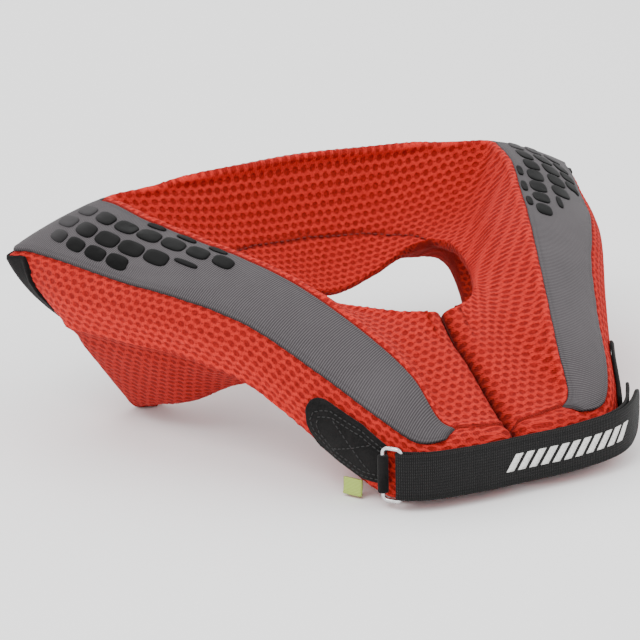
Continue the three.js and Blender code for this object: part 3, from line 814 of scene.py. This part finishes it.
ring_height = FLOOR_GAP + STRAP_WIDTH / 2
strap_fold = WIRE + SEW_GAP + STRAP_THICKNESS / 2
strap_inner = 2 * SEW_GAP + STRAP_THICKNESS / 2


def on_wall(station, share, height):
    return lifted(wall_face, np.array([station]), np.array([share]), height)[0]


tab_bar = on_wall(TAB_BAR, 0.5, TAB_FOLD + TAB_GAP)
strap_bar = on_wall(STRAP_BAR, 0.5, strap_inner + strap_fold)
tab_bar[2] = strap_bar[2] = ring_height
fold_turns = np.linspace(0, 2 * math.pi, 24, endpoint=False)
fold_z = np.concatenate([[-1, -1, -0.97], np.linspace(-0.9, 0.9, 8), [0.97, 1, 1]]) * RING_END_HALF
fold_r = np.concatenate([[0.55, 0.85, 0.97], np.ones(8), [0.97, 0.85, 0.55]]) * TAB_FOLD
fold_grid = np.stack([
    tab_bar[0] + fold_r[:, None] * np.cos(fold_turns),
    tab_bar[1] + fold_r[:, None] * np.sin(fold_turns),
    tab_bar[2] + fold_z[:, None] * np.ones(24),
], -1)
fold = lofted("tab_fold", fold_grid, None, np.ones(fold_grid.shape[:2]))
for piece, node in ((tab, "ring_tab"), (fold, "ring_tab"), (patch, "far_patch")):
    piece.data.materials.append(suede_look)
    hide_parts(node)
    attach(piece, "root")

# Ring: a rounded rectangle of nickel-plated steel wire. One bar lies in the fold of the tab,
# the other in the fold of the strap.
ring_along = tab_bar - strap_bar
ring_short = np.linalg.norm(ring_along)
ring_along /= ring_short
ring_long = STRAP_WIDTH + 2 * (WIRE + RING_PLAY)
ring_middle = (tab_bar + strap_bar) / 2
ring_path = []
for along, rise in ((1, 1), (1, -1), (-1, -1), (-1, 1)):
    for k in range(11):
        share = k / 10 if along * rise > 0 else 1 - k / 10
        angle = share * math.pi / 2
        x = along * (ring_short / 2 - RING_CORNER + RING_CORNER * math.sin(angle))
        z = rise * (ring_long / 2 - RING_CORNER + RING_CORNER * math.cos(angle))
        ring_path.append(ring_middle + ring_along * x + np.array([0, 0, z]))
ring_path = np.array(ring_path)
ring_spin = unit(np.cross(ring_path[0] - ring_middle, ring_path[8] - ring_middle))
ring_side = unit(np.cross(unit(np.roll(ring_path, -1, axis=0) - np.roll(ring_path, 1, axis=0)),
                          ring_spin))
turns = np.linspace(0, 2 * math.pi, 16, endpoint=False)
ring_grid = (ring_path[:, None] + ring_side[:, None] * WIRE * np.cos(turns)[None, :, None]
             + ring_spin * WIRE * np.sin(turns)[None, :, None])
ring = lofted("steel_ring", ring_grid, closed_rows=True)


def steel():
    material, tree, shader = tree_of("steel")
    polish = noise(tree, 700.0, 4.0)
    colour = mixed(tree, span(tree, polish, 0.3, 0.7), (0.55, 0.55, 0.56, 1), (0.72, 0.72, 0.73, 1))
    tree.links.new(colour, shader.inputs["Base Color"])
    tree.links.new(span(tree, polish, 0.3, 0.7, 0.16, 0.30), shader.inputs["Roughness"])
    shader.inputs["Metallic"].default_value = 1.0
    bumped(tree, shader, polish, 0.15, 0.0001)
    return material


ring.data.materials.append(steel())
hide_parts("strap_ring")
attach(ring, "root")

# Strap: black ribbed webbing that runs from the far side through the ring and back on itself.
# Its free end is cut round and stands off a little at the far corner.


def strap_layer(height, bar_height, flare):
    far_height = height + TAB_GAP + PATCH_THICKNESS
    near_at = np.linspace(STRAP_BAR - 0.05, 0, 30)
    near_lift = height + (bar_height - height) * (near_at / STRAP_BAR) ** 4
    share = np.linspace(0, 1, 60)
    far_at = FAR_SLIT - 0.3 + (0.3 - STRAP_END) * share
    far_lift = height + (far_height - height) * share + flare * share ** 4
    at, lift = np.concatenate([near_at, far_at]), np.concatenate([near_lift, far_lift])
    return lifted(wall_face, at, np.full(at.shape, 0.5), lift)[:, :2]


strap_outer = strap_inner + STRAP_THICKNESS + SEW_GAP
inner_layer = strap_layer(strap_inner, strap_inner, 0)
outer_layer = strap_layer(strap_outer, strap_inner + 2 * strap_fold, STRAP_FLARE)
plan_along = ring_along[:2] / np.linalg.norm(ring_along[:2])
plan_across = np.array([-plan_along[1], plan_along[0]])
fold_angles = np.radians(np.linspace(-75, 75, 20))[:, None]
fold_line = strap_bar[:2] + strap_fold * (plan_along * np.cos(fold_angles) + plan_across * np.sin(fold_angles))
strap_line = np.concatenate([inner_layer[::-1], fold_line, outer_layer])
keep = np.concatenate([[True], np.linalg.norm(np.diff(strap_line, axis=0), axis=1) > 1e-5])
strap_line = strap_line[keep]
strap_steps = np.concatenate([[0], np.cumsum(np.linalg.norm(np.diff(strap_line, axis=0), axis=1))])
strap_even = np.linspace(0, strap_steps[-1], 420)
strap_line = np.stack([np.interp(strap_even, strap_steps, strap_line[:, axis]) for axis in (0, 1)],
                      -1)
for _ in range(6):
    strap_line[1:-1] = 0.5 * strap_line[1:-1] + 0.25 * (strap_line[:-2] + strap_line[2:])
strap_tangent = unit(np.gradient(strap_line, axis=0))
strap_side = np.stack([-strap_tangent[:, 1], strap_tangent[:, 0]], -1)
strap_tip = strap_even[-1] - strap_even
TIP_LENGTH = 0.012
tip = np.sqrt(np.clip(1 - np.clip(1 - strap_tip / TIP_LENGTH, 0, 1) ** 2.2, 0.02, 1))
rise = STRAP_RISE * np.clip(strap_line[:, 0] / strap_line[-1, 0], 0, None) ** 2


def strap_point(run, up, out):
    """A point on the strap: distance along it, share of its width from its middle, and height."""
    k = np.interp(run, strap_even, np.arange(len(strap_even)))

    def pick(values):
        return np.interp(k, np.arange(len(strap_even)), values)

    place = np.stack([pick(strap_line[:, 0]), pick(strap_line[:, 1])], -1)
    side = np.stack([pick(strap_side[:, 0]), pick(strap_side[:, 1])], -1)
    z = FLOOR_GAP + STRAP_WIDTH / 2 + pick(rise) + up * STRAP_WIDTH / 2 * pick(tip)
    flat = place - side * np.asarray(out)[..., None]
    return np.concatenate([flat, np.asarray(z)[..., None]], -1)


edge_profile = [(-0.97, 1.0), (-0.90, 1.12), (-0.84, 1.0)]
outer_ups = [-1.0] + [u for u, _ in edge_profile] + list(np.linspace(-0.8, 0.8, 17)) + [0.84, 0.90,
                                                                                        0.97, 1.0]
outer_outs = [0.35] + [o for _, o in edge_profile] + [1.0] * 17 + [1.0, 1.12, 1.0, 0.35]
ups = np.array(outer_ups + outer_ups[::-1])
outs = np.array(outer_outs + [-o for o in outer_outs[::-1]]) * STRAP_THICKNESS / 2
strap_grid = np.stack([strap_point(strap_even, np.full(strap_even.shape, u),
                                   np.full(strap_even.shape, o))
                       for u, o in zip(ups, outs)], axis=1)
strap_v = np.concatenate([(ups + 1) / 2 * STRAP_WIDTH, [0]]) * 1000
strap_uv = np.stack([np.repeat((strap_even * 1000)[:, None], len(ups) + 1, axis=1),
                     np.repeat(strap_v[None, :], len(strap_even), axis=0)], -1)
# Painted shade: a dark line in the groove just inside each raised edge of the strap.
strap_groove_shade = 1 - 0.35 * np.exp(-((np.abs(ups) - 0.82) / 0.03) ** 2)[None,
                                                                    :] * np.ones((len(strap_even),
                                                                                  1))
strap = lofted("webbing_strap", strap_grid, strap_uv, strap_groove_shade)


def webbing():
    material, tree, shader = tree_of("webbing")
    uv = add(tree, "ShaderNodeUVMap", uv_map="cover")
    split = add(tree, "ShaderNodeSeparateXYZ", {0: uv.outputs[0]})
    fuzz = noise(tree, 1800.0, 3.0)

    def ridge(value, pitch):
        wave = calc(tree, "FRACT", calc(tree, "DIVIDE", value, pitch))
        return span(tree, calc(tree, "ABSOLUTE", calc(tree, "SUBTRACT", wave, 0.5)), 0.45, 0.12)
    cross = ridge(split.outputs[0], 0.85)
    lengthwise = ridge(calc(tree, "ADD", split.outputs[1], calc(tree, "MULTIPLY", fuzz, 0.3)), 1.25)
    weave = calc(tree, "MULTIPLY", cross,
                 calc(tree, "ADD", calc(tree, "MULTIPLY", lengthwise, 0.6), 0.4))
    colour = mixed(tree, weave, (0.001, 0.001, 0.001, 1), (0.024, 0.023, 0.023, 1))
    colour = mixed(tree, span(tree, fuzz, 0.55, 0.75, 0.0, 0.35), colour, (0.024, 0.023, 0.023, 1))
    with_painted_shading(tree, shader, colour)
    shader.inputs["Roughness"].default_value = 0.68
    shader.inputs["Specular IOR Level"].default_value = 0.2
    bumped(tree, shader, weave, 1.0, 0.0007)
    return material


strap.data.materials.append(webbing())
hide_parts("strap")
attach(strap, "root")

# Print on the strap: a plain row of slanted off-white bars, screen-printed thick enough to
# stand proud of the webbing.
BAR_COUNT, BAR_PITCH, BAR_WIDE, BAR_LEAN = 11, 0.0056, 0.0036, 0.0024
BAR_START, BAR_HALF_UP = 0.0215, 0.36
bar_verts, bar_faces = [], []
for number in range(BAR_COUNT):
    start = strap_even[-1] - TIP_LENGTH - BAR_START - (BAR_COUNT - 1 - number) * BAR_PITCH
    base = len(bar_verts)
    for height in (0.0006, 0.00092):
        for up in np.linspace(-1, 1, 7):
            for wide in (0, 0.5, 1):
                run = start + wide * BAR_WIDE + up * BAR_LEAN
                bar_verts.append(strap_point(np.array(run), np.array(up * BAR_HALF_UP),
                                             np.array(height)).tolist())
    for row in range(6):
        for k in range(2):
            a = base + row * 3 + k
            bar_faces.append([a, a + 1, a + 4, a + 3])
            bar_faces.append([a + 21, a + 24, a + 25, a + 22])
        for k in (0, 2):
            a = base + row * 3 + k
            bar_faces.append([a, a + 3, a + 24, a + 21])
    for row in (0, 6):
        for k in range(2):
            a = base + row * 3 + k
            bar_faces.append([a, a + 21, a + 22, a + 1])
bars = solid_of("print_bars", bar_verts, bar_faces)


def print_ink():
    material, tree, shader = tree_of("print_ink")
    speck = noise(tree, 1600.0, 3.0)
    colour = mixed(tree, span(tree, speck, 0.3, 0.6), (0.48, 0.47, 0.45, 1), (0.74, 0.73, 0.71, 1))
    tree.links.new(colour, shader.inputs["Base Color"])
    shader.inputs["Roughness"].default_value = 0.55
    bumped(tree, shader, speck, 0.4, 0.0002)
    return material


bars.data.materials.append(print_ink())
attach(bars, "root")

# Label: a short folded end of lime ribbed tape. It is sewn in at the foot of the wall, below
# the ring tab.
LABEL_STATION, LABEL_WIDE, LABEL_DROP, LABEL_THICK, LABEL_SEAM = 3.4, 0.009, 0.0055, 0.0014, 0.0016
LABEL_LEAN, LABEL_STEPS = 0.0008, 12
label_root = on_wall(LABEL_STATION, 1.0, LABEL_THICK / 2 + SEW_GAP)
label_along = on_wall(LABEL_STATION + 0.15, 0.97, 0) - on_wall(LABEL_STATION - 0.15, 0.97, 0)
label_along[2] = 0
label_along = unit(label_along)
label_out = np.array([label_along[1], -label_along[0], 0])
label_out *= np.sign(label_out @ label_root)
label_rows = []
for drop in np.linspace(-LABEL_SEAM, LABEL_DROP, LABEL_STEPS):
    lean = LABEL_LEAN * (drop / LABEL_DROP) ** 2
    thick = LABEL_THICK / 2 * (1 if drop < LABEL_DROP else 0.6)
    profile = []
    for across, out in [(x, 1) for x in np.linspace(-1, 1, 14)] + [(x, -1) for x in np.linspace(1,
                                                                                                -1, 14)]:
        squeeze = 0.55 if abs(across) == 1 else 1
        profile.append(label_root + label_along * across * LABEL_WIDE / 2
                       + label_out * (lean + out * thick * squeeze) - np.array([0, 0,
                                                                                drop + LABEL_SEAM]))
    label_rows.append(profile)
label_grid = np.array(label_rows)
label_u = np.linspace(0, 18, label_grid.shape[1] + 1)[None, :] * np.ones((LABEL_STEPS, 1))
label_v = np.linspace(0, 7, LABEL_STEPS)[:, None] * np.ones((1, label_grid.shape[1] + 1))
label = lofted("lime_label", label_grid, np.stack([label_v, label_u], -1),
               np.ones(label_grid.shape[:2]))
label.data.materials.append(woven("lime_tape", (0.28, 0.38, 0.06, 1), (0.46, 0.58, 0.13, 1), 0.6, 0,
                                  0.8, 0.1, 0.0002, tint=(0.9, 1, 0.6, 1)))
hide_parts("label_tag")
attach(label, "root")

# Stitches: lockstitch in black thread round the tab with a crossed box in its middle, and in
# dark red thread along the seam of the bowl. Each stitch dips into the cloth at both ends.


def stitch_tree():
    tree = bpy.data.node_groups.new("stitch_run", "GeometryNodeTree")
    tree.interface.new_socket("Geometry", in_out="INPUT", socket_type="NodeSocketGeometry")
    for label_text, value in (("Stitch pitch", 0.0026), ("Stitch length", 0.0017),
                              ("Thread radius", 0.0003)):
        socket = tree.interface.new_socket(label_text, in_out="INPUT",
                                           socket_type="NodeSocketFloat")
        socket.default_value = value
    tree.interface.new_socket("Thread", in_out="INPUT", socket_type="NodeSocketMaterial")
    tree.interface.new_socket("Geometry", in_out="OUTPUT", socket_type="NodeSocketGeometry")
    start, end = tree.nodes.new("NodeGroupInput"), tree.nodes.new("NodeGroupOutput")
    curve = add(tree, "GeometryNodeMeshToCurve", {"Mesh": start.outputs["Geometry"]})
    points = add(tree, "GeometryNodeCurveToPoints",
                 {"Curve": curve.outputs[0], "Length": start.outputs["Stitch pitch"]},
                 mode="LENGTH")
    ball = add(tree, "GeometryNodeMeshIcoSphere", {"Radius": 1.0, "Subdivisions": 2})
    half = add(tree, "ShaderNodeMath", {0: start.outputs["Stitch length"], 1: 0.5},
               operation="MULTIPLY")
    size_of = add(tree, "ShaderNodeCombineXYZ",
                  {0: start.outputs["Thread radius"], 1: start.outputs["Thread radius"],
                   2: half.outputs[0]})
    placed = add(tree, "GeometryNodeInstanceOnPoints",
                 {"Points": points.outputs["Points"], "Instance": ball.outputs[0],
                                                               "Rotation": points.outputs["Rotation"], "Scale": size_of.outputs[0]})
    real = add(tree, "GeometryNodeRealizeInstances", {0: placed.outputs[0]})
    smooth = add(tree, "GeometryNodeSetShadeSmooth", {0: real.outputs[0]})
    painted = add(tree, "GeometryNodeSetMaterial",
                  {"Geometry": smooth.outputs[0], "Material": start.outputs["Thread"]})
    tree.links.new(painted.outputs[0], end.inputs[0])
    return tree


def thread(name, dark, light):
    material, tree, shader = tree_of(name)
    twist = add(tree, "ShaderNodeTexWave",
                {"Vector": own_place(tree), "Scale": 900.0, "Distortion": 1.5})
    tree.links.new(mixed(tree, twist.outputs[1], dark, light), shader.inputs["Base Color"])
    shader.inputs["Roughness"].default_value = 0.6
    bumped(tree, shader, twist.outputs[1], 0.4, 0.0001)
    return material


STITCHES = stitch_tree()


def stitched(name, runs, material, pitch, length, radius):
    """Stitches along several runs of points, made by the stitch tree and turned into a mesh."""
    mesh = bpy.data.meshes.new(name + "_run")
    verts, edges = [], []
    for run in runs:
        first = len(verts)
        verts.extend(swollen(np.asarray(run)).tolist())
        edges.extend([[first + k, first + k + 1] for k in range(len(run) - 1)])
    mesh.from_pydata(verts, edges, [])
    guide = linked(name + "_run", mesh)
    modifier = guide.modifiers.new("stitches", "NODES")
    modifier.node_group = STITCHES
    values = {"Stitch pitch": pitch, "Stitch length": length, "Thread radius": radius,
              "Thread": material}
    for item in STITCHES.interface.items_tree:
        if item.in_out == "INPUT" and item.name in values:
            modifier[item.identifier] = values[item.name]
    graph = bpy.context.evaluated_depsgraph_get()
    made = bpy.data.meshes.new_from_object(guide.evaluated_get(graph))
    made.name = name
    bpy.data.objects.remove(guide)
    thing = linked(name, made)
    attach(thing, "root")
    return thing


def wall_run(points, height):
    """Points given as (share along the tab, share across it), laid on the wall."""
    points = np.asarray(points, float)
    at = TAB_FRONT + (TAB_REAR - TAB_FRONT) * points[:, 0]
    low, high = tab_span(at)
    return lifted(wall_face, at, low + (high - low) * points[:, 1], height)


def line_between(corners, count=14):
    corners = np.asarray(corners, float)
    return np.concatenate([a + (b - a) * np.linspace(0, 1, count)[:, None] for a,
                           b in zip(corners[:-1], corners[1:])])


outer_line = line_between([(0.06, 0.12), (0.30, 0.10), (0.70, 0.12), (0.90, 0.28), (0.94, 0.5),
                           (0.90, 0.72), (0.70, 0.88), (0.30, 0.90), (0.06, 0.88)])
inner_line = line_between([(0.10, 0.22), (0.32, 0.19), (0.68, 0.21), (0.84, 0.34), (0.87, 0.5),
                           (0.84, 0.66), (0.68, 0.79), (0.32, 0.81), (0.10, 0.78)])
cross_lines = [line_between([(0.24, 0.26), (0.66, 0.74)]),
               line_between([(0.24, 0.74), (0.66, 0.26)])]
tab_top = TAB_GAP + TAB_THICKNESS + 0.0001
tab_runs = [wall_run(line, tab_top) for line in [outer_line, inner_line] + cross_lines]
black_thread = thread("black_thread", (0.003, 0.003, 0.003, 1), (0.014, 0.013, 0.013, 1))
stitched("tab_stitches", tab_runs, black_thread, 0.0024, 0.0018, 0.00026)

seam_at = np.linspace(10.4, 16.9, 160)
seam_run = lifted(inner_face, seam_at, np.interp(seam_at, SEAM_STATIONS, SEAM_SHARES), 0.0)
seam_lift = face_normal(inner_face, seam_at, np.interp(seam_at, SEAM_STATIONS, SEAM_SHARES))
seam_run = seam_run - seam_lift * 0.0006 * np.sign(seam_lift[80] @ np.array([0, -1, 0.4]))
red_thread = thread("red_thread", (0.10, 0.006, 0.005, 1), (0.22, 0.014, 0.010, 1))
stitched("bowl_stitches", [seam_run], red_thread, 0.0030, 0.0020, 0.00030)

# Stage: a plain pale floor with soft light from large panels, and the photograph's view.
floor_mesh = bpy.data.meshes.new("floor")
floor_mesh.from_pydata([(-6, -6, 0), (6, -6, 0), (6, 6, 0), (-6, 6, 0)], [], [(0, 1, 2, 3)])
floor = linked("floor", floor_mesh)
floor.location.z = -0.0003
pale, pale_tree, pale_shader = tree_of("pale_floor")
pale_cloud = noise(pale_tree, 4.0, 2.0)
pale_colour = mixed(pale_tree, pale_cloud, (0.96, 0.96, 0.96, 1), (0.97, 0.97, 0.97, 1))
pale_tree.links.new(pale_colour, pale_shader.inputs["Base Color"])
pale_shader.inputs["Roughness"].default_value = 0.9
pale_shader.inputs["Specular IOR Level"].default_value = 0.0
floor.data.materials.append(pale)

world = bpy.data.worlds.new("studio")
world.use_nodes = True
world.node_tree.nodes["Background"].inputs[0].default_value = (1, 1, 1, 1)
world.node_tree.nodes["Background"].inputs[1].default_value = 1.6
bpy.context.scene.world = world


def panel(name, place, target, width, power):
    light = bpy.data.lights.new(name, "AREA")
    light.shape, light.size, light.energy = "SQUARE", width, power
    thing = linked(name, light)
    thing.location = place
    thing.rotation_euler = (Vector(target) - Vector(place)).to_track_quat("-Z", "Y").to_euler()


panel("key", (-0.9, -0.5, 1.3), (0, 0, 0.05), 0.8, 13)
panel("fill", (1.1, -1.1, 0.9), (0, 0, 0.05), 1.0, 5)
panel("back", (0.3, 1.4, 1.2), (0, 0, 0.05), 0.9, 7)

CAMERA_AT, CAMERA_TARGET = Vector((-0.49796, -0.89411, 0.36602)), Vector((-0.05015, -0.01991,
                                                                          0.060))
CAMERA_ROLL = math.radians(-1.509)
look = (CAMERA_TARGET - CAMERA_AT).normalized()
right = look.cross(Vector((0, 0, 1))).normalized()
up = right.cross(look)
tilted_right = right * math.cos(CAMERA_ROLL) + up * math.sin(CAMERA_ROLL)
tilted_up = -right * math.sin(CAMERA_ROLL) + up * math.cos(CAMERA_ROLL)
camera_data = bpy.data.cameras.new("camera")
camera_data.lens, camera_data.sensor_width = 134.55, 36
camera = linked("camera", camera_data)
turn = Matrix((tilted_right, tilted_up, -look)).transposed()
camera.matrix_world = Matrix.Translation(CAMERA_AT) @ turn.to_4x4()
bpy.context.scene.camera = camera
